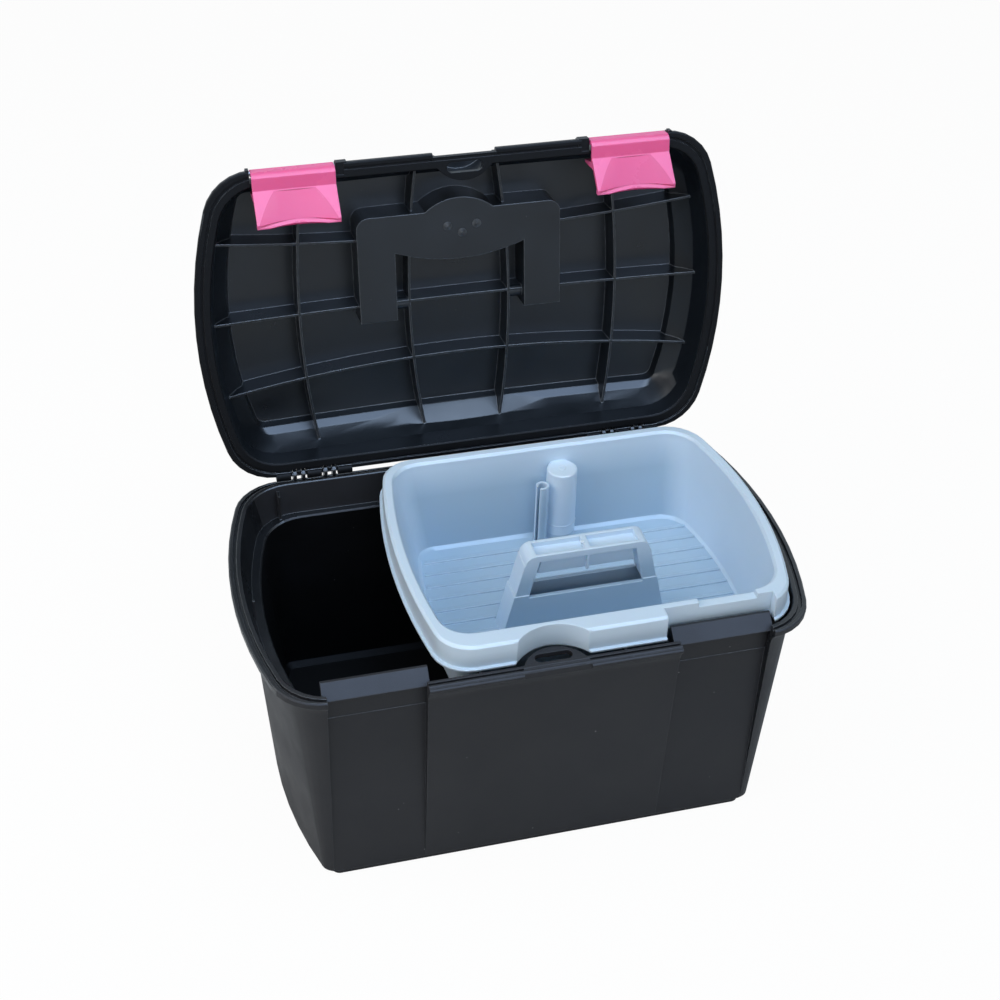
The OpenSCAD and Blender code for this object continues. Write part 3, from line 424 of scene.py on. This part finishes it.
@dataclass
class Moulding:
    """One CAD node shown by a welded copy with smooth curves and crisp edges."""

    node: str
    body: str
    slot: str
    finishes: tuple[Finish, ...]
    crease: float = math.radians(32)
    weld: float = 0.004 * MM
    flat: float = math.radians(0.3)

    def skin(self, frame: dict, zone: Optional[Zoning] = None) -> bpy.types.Object:
        """Copy the node's mesh, weld it, and give each face its finish.

        Args:
            zone: Says from a face's middle and normal which finish it takes.

        Returns:
            The piece that stands for the node.
        """
        shape = bmesh.new()
        shape.from_mesh(frame["nodes"][self.node].data)
        bmesh.ops.remove_doubles(shape, verts=shape.verts, dist=self.weld)
        bmesh.ops.dissolve_degenerate(shape, edges=shape.edges, dist=self.weld)
        bmesh.ops.dissolve_limit(shape, angle_limit=self.flat, verts=shape.verts, edges=shape.edges)
        shape.normal_update()
        for face in shape.faces:
            face.smooth = True
            face.material_index = zone(face.calc_center_median(), face.normal) if zone else 0
        for edge in shape.edges:
            edge.smooth = len(edge.link_faces) == 2 and edge.calc_face_angle(0.0) < self.crease
        piece = link_mesh(self.node + "_skin", shape)
        for finish in self.finishes:
            piece.data.materials.append(finish.material())
        even = piece.modifiers.new("even_shading", "WEIGHTED_NORMAL")
        even.keep_sharp = True
        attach(piece, self.body)
        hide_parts(self.node)
        LOG.info("%s: %d faces", piece.name, len(piece.data.polygons))
        return piece

    def mark(self, name: str, shape: bmesh.types.BMesh, finish: Finish) -> bpy.types.Object:
        """Add a small moulded mark that rides with the same body.

        Args:
            name: Name of the mark.
            shape: Its mesh in the row frame.
            finish: Its finish.

        Returns:
            The mark.
        """
        bmesh.ops.recalc_face_normals(shape, faces=shape.faces)
        for face in shape.faces:
            face.smooth = True
        piece = link_mesh(name, shape)
        piece.data.materials.append(finish.material())
        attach(piece, self.body)
        LOG.info("%s: %d faces", piece.name, len(piece.data.polygons))
        return piece


def add_disc(shape: bmesh.types.BMesh, place: Matrix, radius: float, height: float) -> None:
    """Add a low round pad with a softened upper edge.

    Args:
        shape: The mesh it joins.
        place: Where its middle sits and which way +Z of the pad points.
        radius: Its radius.
        height: Its height, half of it sunk.
    """
    made = bmesh.ops.create_cone(
        shape, cap_ends=True, segments=40, radius1=radius, radius2=radius, depth=height, matrix=place)
    axis = place.to_3x3() @ Vector((0, 0, 1))
    middle = place.to_translation()
    rim = {
        edge for vert in made["verts"] for edge in vert.link_edges
        if all((end.co - middle).dot(axis) > 0 for end in edge.verts)
    }
    bmesh.ops.bevel(
        shape, geom=list(rim), offset=height * 0.3, offset_type="OFFSET", segments=3, profile=0.5,
        affect="EDGES", material=-1, clamp_overlap=True)


def add_ring(
    shape: bmesh.types.BMesh, middle: Vector, radius: float, wire: float, start: float, turn: float
) -> None:
    """Add a thin raised line around an upright axis.

    Args:
        shape: The mesh it joins.
        middle: Centre of the ring.
        radius: Radius of the line's middle.
        wire: Half the line's thickness.
        start: Angle of its first end from +X.
        turn: Angle it runs round; a whole turn closes it.
    """
    along = Vector((math.cos(start), math.sin(start), 0))
    upright = Matrix.Rotation(start, 4, "Z") @ Matrix.Rotation(math.pi / 2, 4, "X")
    place = Matrix.Translation(middle + along * radius) @ upright
    made = bmesh.ops.create_circle(shape, cap_ends=False, radius=wire, segments=8, matrix=place)
    edges = list({edge for vert in made["verts"] for edge in vert.link_edges})
    whole = abs(turn - 2 * math.pi) < 1e-6
    bmesh.ops.spin(
        shape, geom=made["verts"] + edges, cent=middle, axis=(0, 0, 1), angle=turn, steps=48,
        use_merge=whole, use_duplicate=False)


# Sub-assemblies


def outwardness(place: Vector, normal: Vector) -> float:
    """Say how far a face looks away from the upright middle axis of the box.

    Args:
        place: Middle of the face.
        normal: Its normal.

    Returns:
        Above 0 on outer sides, below 0 on inner sides.
    """
    return normal.x * place.x / HALF_LENGTH + normal.y * place.y / HALF_WIDTH


class TubZone(Enum):
    """Parts of the tub's surface."""

    OUTSIDE = 0
    INSIDE = 1
    RIM = 2


@dataclass
class Tub(Moulding):
    """Tub with a grained outside, a smooth rim and a dull inside whose near-black colour is painted shade.
    """

    node: str = "base_tub"
    body: str = "base"
    slot: str = "tub_black"
    finishes: tuple[Finish, ...] = (Finish.TUB_GRAINED, Finish.TUB_INSIDE, Finish.RIM_SMOOTH)
    ledge_z: float = 150 * MM
    rim_z: float = 176 * MM
    bay_y: float = -100 * MM
    back_y: float = 100 * MM
    foot_z: float = 3 * MM
    rim_tilt: float = -0.2
    outward_from: float = 0.02
    back_facing: float = -0.5

    def zone(self, middle: Vector, normal: Vector) -> int:
        """Say which part of the surface a face belongs to.

        Args:
            middle: Middle of the face.
            normal: Its normal.

        Returns:
            Index of its finish.
        """
        if middle.z > self.rim_z and normal.z > self.rim_tilt:
            return TubZone.OUTSIDE.value if middle.y < self.bay_y else TubZone.RIM.value
        if outwardness(middle, normal) > self.outward_from or middle.z < self.foot_z:
            return TubZone.OUTSIDE.value
        if middle.y > self.back_y and middle.z > self.ledge_z and normal.y < self.back_facing:
            return TubZone.OUTSIDE.value
        return TubZone.RIM.value if middle.z > self.ledge_z else TubZone.INSIDE.value

    def build(self, frame: dict) -> None:
        """Make the tub.
        """
        self.skin(frame, self.zone)


class LidZone(Enum):
    """Parts of the lid's surface."""

    OUTSIDE = 0
    INSIDE = 1
    RIM = 2


@dataclass
class Lid(Moulding):
    """Lid with a grained top, a smooth inside, a dull rim that takes the tub's painted-shade inside finish,
    and the marks of its mould.
    """

    node: str = "lid_shell"
    body: str = "lid"
    slot: str = "lid_black"
    finishes: tuple[Finish, ...] = (Finish.TUB_GRAINED, Finish.LID_INSIDE, Finish.TUB_INSIDE)
    crease: float = math.radians(13)
    hinge: str = "lid_hinge"
    pocket_face: float = 204 * MM
    rim_z: float = 190 * MM
    side_y: float = 110 * MM
    end_x: float = 189.5 * MM
    rim_facing: float = -0.7
    top_facing: float = 0.35
    outward_from: float = 0.25
    ejector_r: float = 3.4 * MM
    ejector_h: float = 0.12 * MM
    ejectors: tuple[tuple[float, float], ...] = ((-9, -58), (13, -58), (2, -52))
    opening: Matrix = field(default_factory=Matrix)

    def read_hinge(self, frame: dict) -> None:
        """Find the turn from the closed to the open lid.
        """
        joint = next(j for j in frame["joints"] if j["name"] == self.hinge)
        angle = math.radians(min(joint["range_deg"]))
        axis = Matrix.Translation(Vector(joint["pos_m"]))
        self.opening = axis @ Matrix.Rotation(angle, 4, "X") @ axis.inverted()

    def zone(self, middle: Vector, normal: Vector) -> int:
        """Say which part of the surface a face belongs to.

        Args:
            middle: Middle of the face.
            normal: Its normal.

        Returns:
            Index of its finish.
        """
        back = self.opening.inverted()
        place, turn = back @ middle, back.to_3x3() @ normal
        if turn.z < self.rim_facing and place.z < self.rim_z:
            return LidZone.RIM.value
        on_side = outwardness(place, turn) > self.outward_from and abs(place.y) > self.side_y
        if turn.z > self.top_facing or on_side or abs(place.x) > self.end_x:
            return LidZone.OUTSIDE.value
        return LidZone.INSIDE.value

    def build(self, frame: dict) -> None:
        """Make the lid and its ejector marks.
        """
        self.read_hinge(frame)
        self.skin(frame, self.zone)
        shape = bmesh.new()
        down = Matrix.Rotation(math.pi, 4, "X")
        for x, y in self.ejectors:
            spot = Matrix.Translation(Vector((x * MM, y * MM, self.pocket_face)))
            add_disc(shape, self.opening @ spot @ down, self.ejector_r, self.ejector_h)
        self.mark("lid_ejector_marks", shape, Finish.LID_INSIDE)


class TrayZone(Enum):
    """Parts of the tray's surface."""

    DISH = 0
    POST = 1


@dataclass
class Tray(Moulding):
    """Lift-out tray with painted shade low inside, painted light on the front of its post, the gate mark on
    its grip and fine lines on its post.
    """

    node: str = "tray"
    body: str = "tray"
    slot: str = "tray_grey_blue"
    finishes: tuple[Finish, ...] = (Finish.TRAY_BLUE, Finish.TRAY_POST)
    gate: Vector = field(default_factory=lambda: Vector((49, -13, 193)) * MM)
    gate_r: float = 1.5 * MM
    gate_h: float = 1.6 * MM
    post: Vector = field(default_factory=lambda: Vector((63.5, 84.5, 185)) * MM)
    post_r: float = 12.6 * MM
    post_facing: float = 0.5
    floor_z: float = 127 * MM
    dimple_r: float = 2.6 * MM
    witness_r: float = 12.4 * MM
    witness_z: float = 137 * MM
    witness_start: float = math.radians(185)
    witness_turn: float = math.radians(160)
    wire: float = 0.22 * MM

    def zone(self, middle: Vector, normal: Vector) -> int:
        """Say which part of the surface a face belongs to.

        Args:
            middle: Middle of the face.
            normal: Its normal.

        Returns:
            Index of its finish.
        """
        # The post's front takes the paler, painted-light finish.
        beside = (middle - self.post).xy
        in_front = beside.length < self.post_r and beside.y < self.post_r / 3
        on_post = in_front and middle.z > self.floor_z and normal.y < self.post_facing
        return TrayZone.POST.value if on_post else TrayZone.DISH.value

    def build(self, frame: dict) -> None:
        """Make the tray, the gate mark on its grip and the fine lines of its post.
        """
        self.skin(frame, self.zone)
        gate = bmesh.new()
        add_disc(gate, Matrix.Translation(self.gate), self.gate_r, self.gate_h)
        self.mark("tray_gate_mark", gate, Finish.GATE_WHITE)
        lines = bmesh.new()
        add_ring(lines, self.post, self.dimple_r, self.wire, 0.0, 2 * math.pi)
        ring = Vector((self.post.x, self.post.y, self.witness_z))
        add_ring(lines, ring, self.witness_r, self.wire, self.witness_start, self.witness_turn)
        self.mark("tray_post_lines", lines, Finish.GATE_WHITE)


@dataclass
class CarryHandle(Moulding):
    """Carry handle in its pocket."""

    node: str = "carry_handle"
    body: str = "handle"
    slot: str = "tub_black"
    finishes: tuple[Finish, ...] = (Finish.TUB_GRAINED,)

    def build(self, frame: dict) -> None:
        """Make the handle.
        """
        self.skin(frame)


class LatchZone(Enum):
    """Parts of a latch's surface."""

    PLATE = 0
    SCOOP = 1


@dataclass
class Latch(Moulding):
    """Pink latch with painted shade, a deeper pink, in its finger scoop."""

    slot: str = "latch_pink"
    finishes: tuple[Finish, ...] = (Finish.LATCH_PINK, Finish.LATCH_SCOOP)
    scoop_turn: tuple[float, float] = (0.003, 0.3)
    scoop_facing: float = -0.1

    def zone(self, middle: Vector, normal: Vector) -> int:
        """Say which part of the surface a face belongs to.

        Args:
            middle: Middle of the face.
            normal: Its normal.

        Returns:
            Index of its finish.
        """
        low, high = self.scoop_turn
        # Scoop faces take the painted shade.
        scooped = low < abs(normal.x) < high and normal.y < self.scoop_facing
        return LatchZone.SCOOP.value if scooped else LatchZone.PLATE.value

    def build(self, frame: dict) -> None:
        """Make the latch.
        """
        self.skin(frame, self.zone)


@dataclass
class Pins:
    """Steel pins of hinges and latches, shown by their own nodes."""

    nodes: tuple[str, ...] = ("hinge_pin_left", "hinge_pin_right", "latch_pin_left", "latch_pin_right")

    def build(self, frame: dict) -> None:
        """Dress the pins.
        """
        for name in self.nodes:
            materials = frame["nodes"][name].data.materials
            materials.clear()
            materials.append(Finish.PIN_STEEL.material())
            LOG.info("%s dressed", name)


# Studio


@dataclass(frozen=True)
class Softbox:
    """Large soft lamp aimed at the box."""

    name: str
    place: Vector
    size: tuple[float, float]
    radiance: float
    colour: tuple[float, float, float]
    only_gloss: bool = False

    def build(self, aim: Vector) -> None:
        """Hang the lamp.

        Args:
            aim: The point it shines at.
        """
        lamp = bpy.data.lights.new(self.name, "AREA")
        lamp.shape = "RECTANGLE"
        lamp.size, lamp.size_y = self.size
        lamp.energy = self.radiance * math.pi * self.size[0] * self.size[1]
        lamp.color = self.colour
        holder = bpy.data.objects.new(self.name, lamp)
        holder.visible_diffuse = not self.only_gloss
        holder.location = self.place
        holder.rotation_euler = (aim - self.place).to_track_quat("-Z", "Y").to_euler()
        bpy.context.scene.collection.objects.link(holder)


@dataclass
class Studio:
    """White floor, soft lamps and the camera at the photograph's viewing angle."""

    floor_half: float = 9.0
    floor_glow: float = 0.96
    ambient: float = 0.2
    aim: Vector = field(default_factory=lambda: Vector((0, 0.02, 0.18)))
    eye: Vector = field(default_factory=lambda: Vector((-245.0, -824.9, 900.2)) * MM)
    azimuth: float = math.radians(13.4)
    elevation: float = math.radians(35.0)
    roll: float = math.radians(0.46)
    focal_px: float = 1559.6
    centre_px: tuple[float, float] = (445.85, 417.9)
    image_px: float = 1000.0
    sensor: float = 36.0
    softboxes: tuple[Softbox, ...] = (
        Softbox("overhead_softbox", Vector((0.1, -0.2, 1.95)), (1.5, 1.1), 2.9, (0.7, 0.86, 1.0)),
        Softbox("left_softbox", Vector((-1.45, -0.15, 1.35)), (1.3, 1.3), 2.8, (1.0, 0.98, 0.96)),
        Softbox("front_softbox", Vector((0.2, -2.0, 1.1)), (1.8, 1.0), 1.7, (0.96, 0.98, 1.0)),
        Softbox("sky_card", Vector((0.3, -1.0, 1.9)), (2.4, 2.8), 5.2, (0.42, 0.62, 1.0), True),
    )

    def build(self) -> None:
        """Set up floor, world, lamps and camera."""
        self.lay_floor()
        self.fill_world()
        for softbox in self.softboxes:
            softbox.build(self.aim)
        self.set_camera()
        bpy.context.scene.view_settings.view_transform = "Standard"

    def lay_floor(self) -> None:
        """Lay the white floor, which keeps a faint shadow."""
        shape = bmesh.new()
        bmesh.ops.create_grid(shape, x_segments=1, y_segments=1, size=self.floor_half)
        floor = link_mesh("floor", shape)
        sheet = NodeSheet("floor_white")
        out = sheet.add("ShaderNodeOutputMaterial")
        matt = sheet.add("ShaderNodeBsdfDiffuse")
        matt.inputs["Color"].default_value = (0.92, 0.92, 0.92, 1)
        glow = sheet.add("ShaderNodeEmission")
        seen = sheet.add("ShaderNodeLightPath").outputs["Is Camera Ray"]
        blend = sheet.add("ShaderNodeMixShader")
        sheet.link(sheet.remap(seen, (0, 1), (0, self.floor_glow)), blend.inputs["Fac"])
        sheet.link(matt.outputs["BSDF"], blend.inputs[1])
        sheet.link(glow.outputs["Emission"], blend.inputs[2])
        sheet.link(blend.outputs["Shader"], out.inputs["Surface"])
        floor.data.materials.append(sheet.material)

    def fill_world(self) -> None:
        """Fill the world with white for the eye, pale sky for reflections and a low even light."""
        world = bpy.data.worlds.new("studio_white")
        bpy.context.scene.world = world
        world.use_nodes = True
        tree = world.node_tree
        tree.nodes.clear()
        out = tree.nodes.new("ShaderNodeOutputWorld")
        path = tree.nodes.new("ShaderNodeLightPath")
        shown = tree.nodes.new("ShaderNodeMath")
        shown.operation = "MAXIMUM"
        tree.links.new(path.outputs["Is Camera Ray"], shown.inputs[0])
        tree.links.new(path.outputs["Is Transmission Ray"], shown.inputs[1])
        layer = None
        for colour, strength, rays in (
            ((0.9, 0.96, 1.0, 1), self.ambient, None),
            ((0.8, 0.91, 1.0, 1), 1.0, path.outputs["Is Glossy Ray"]),
            ((1.0, 1.0, 1.0, 1), 1.0, shown.outputs["Value"]),
        ):
            light = tree.nodes.new("ShaderNodeBackground")
            light.inputs["Color"].default_value = colour
            light.inputs["Strength"].default_value = strength
            if rays is None:
                layer = light.outputs["Background"]
                continue
            blend = tree.nodes.new("ShaderNodeMixShader")
            tree.links.new(rays, blend.inputs["Fac"])
            tree.links.new(layer, blend.inputs[1])
            tree.links.new(light.outputs["Background"], blend.inputs[2])
            layer = blend.outputs["Shader"]
        tree.links.new(layer, out.inputs["Surface"])

    def set_camera(self) -> None:
        """Place the camera that was fitted to the photograph."""
        data = bpy.data.cameras.new("camera")
        data.sensor_width = self.sensor
        data.lens = self.focal_px * self.sensor / self.image_px
        data.shift_x = 0.5 - self.centre_px[0] / self.image_px
        data.shift_y = self.centre_px[1] / self.image_px - 0.5
        data.clip_start = 0.01
        camera = bpy.data.objects.new("camera", data)
        turn = (
            Matrix.Rotation(-self.azimuth, 4, "Z")
            @ Matrix.Rotation(math.pi / 2 - self.elevation, 4, "X")
            @ Matrix.Rotation(self.roll, 4, "Z")
        )
        camera.matrix_world = Matrix.Translation(self.eye) @ turn
        bpy.context.scene.collection.objects.link(camera)
        bpy.context.scene.camera = camera


def main() -> None:
    """Dress every piece of the box and set up the studio."""
    logging.basicConfig(level=logging.INFO, format="%(message)s")
    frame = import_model()
    pieces = (
        Tub(),
        Lid(),
        Tray(),
        CarryHandle(),
        Latch("latch_left", "latch_left"),
        Latch("latch_right", "latch_right"),
        Pins(),
    )
    for piece in pieces:
        piece.build(frame)
    Studio().build()


if __name__ == "__main__":
    main()
